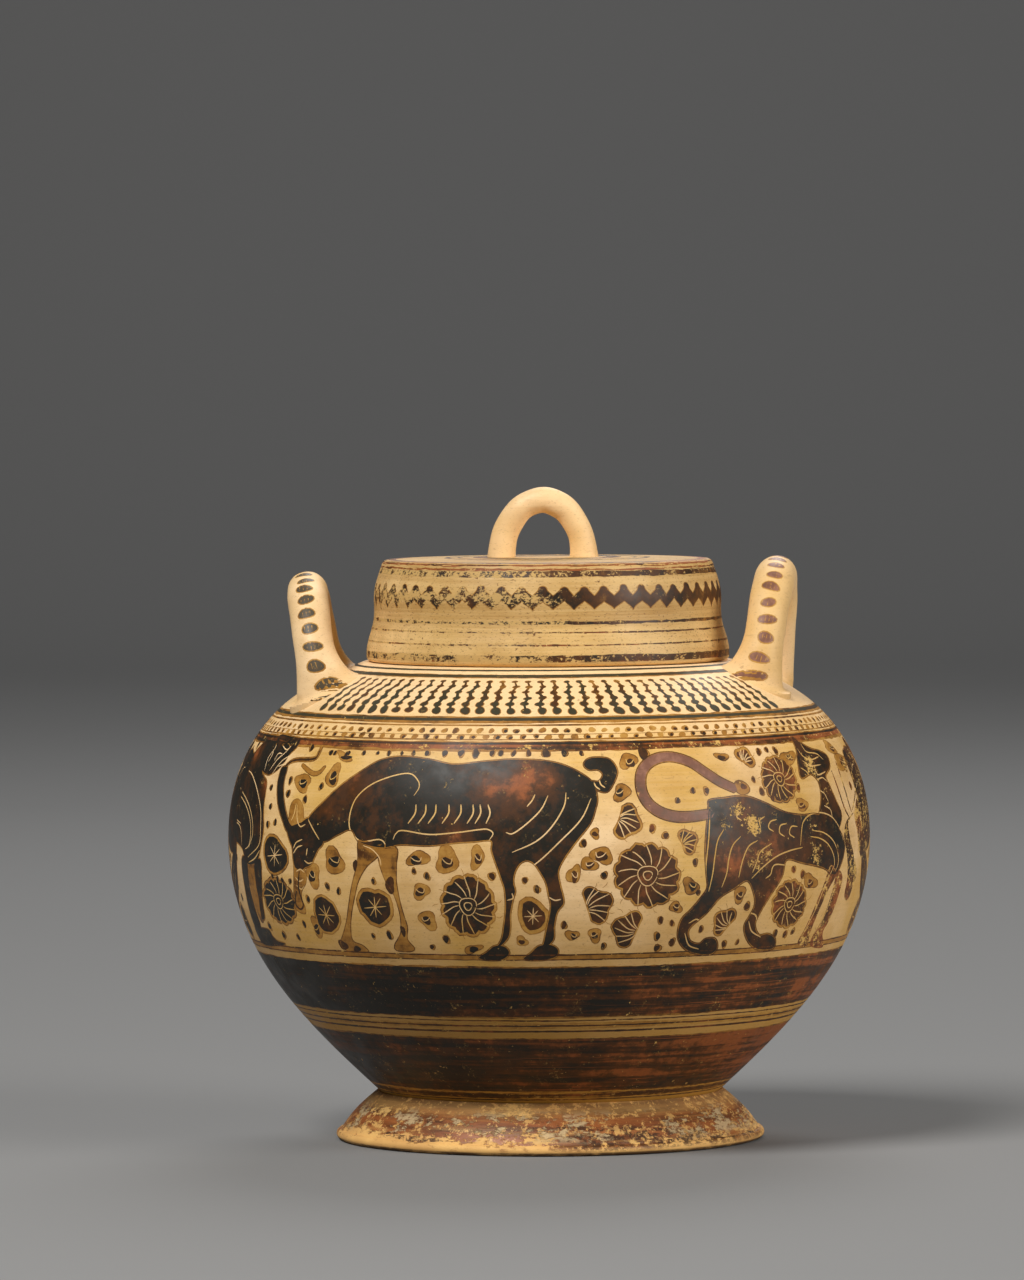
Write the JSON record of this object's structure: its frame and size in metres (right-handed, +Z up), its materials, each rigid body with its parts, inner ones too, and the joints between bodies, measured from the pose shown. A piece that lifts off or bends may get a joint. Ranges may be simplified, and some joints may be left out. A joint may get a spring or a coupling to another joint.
{
  "type": "lidded lekanis",
  "caption": "Round-bellied lidded pottery vessel on a flaring ring foot, with upright loop handles on the shoulder and a deep cap lid that lifts off by its own loop.",
  "frame": {"origin": "centre of the ring on which the foot rests, on the surface that carries the vessel", "axes": "+Z up along the vessel's axis, X through the two side handles, -Y towards the front of the painted frieze"},
  "size_m": [0.2204, 0.2204, 0.2234],
  "materials": {
    "painted_clay": "fired cream-buff clay, burnished, with dark brown and red-brown slip decoration",
    "worn_slip_clay": "fired clay under a heavily worn red-brown slip",
    "plain_clay": "bare smooth cream-buff fired clay with a few brushed bars"
  },
  "bodies": {
    "vessel": {"bowl": "painted_clay", "foot": "worn_slip_clay", "collar": "plain_clay", "left_handle": "plain_clay", "right_handle": "plain_clay"},
    "lid": {"lid": "painted_clay", "lid_loop": "plain_clay"}
  },
  "joints": [
    {"name": "lid_lift", "type": "slide", "parent": "vessel", "child": "lid", "axis": [0, 0, 1], "range_m": [0, 0.06]}
  ]
}
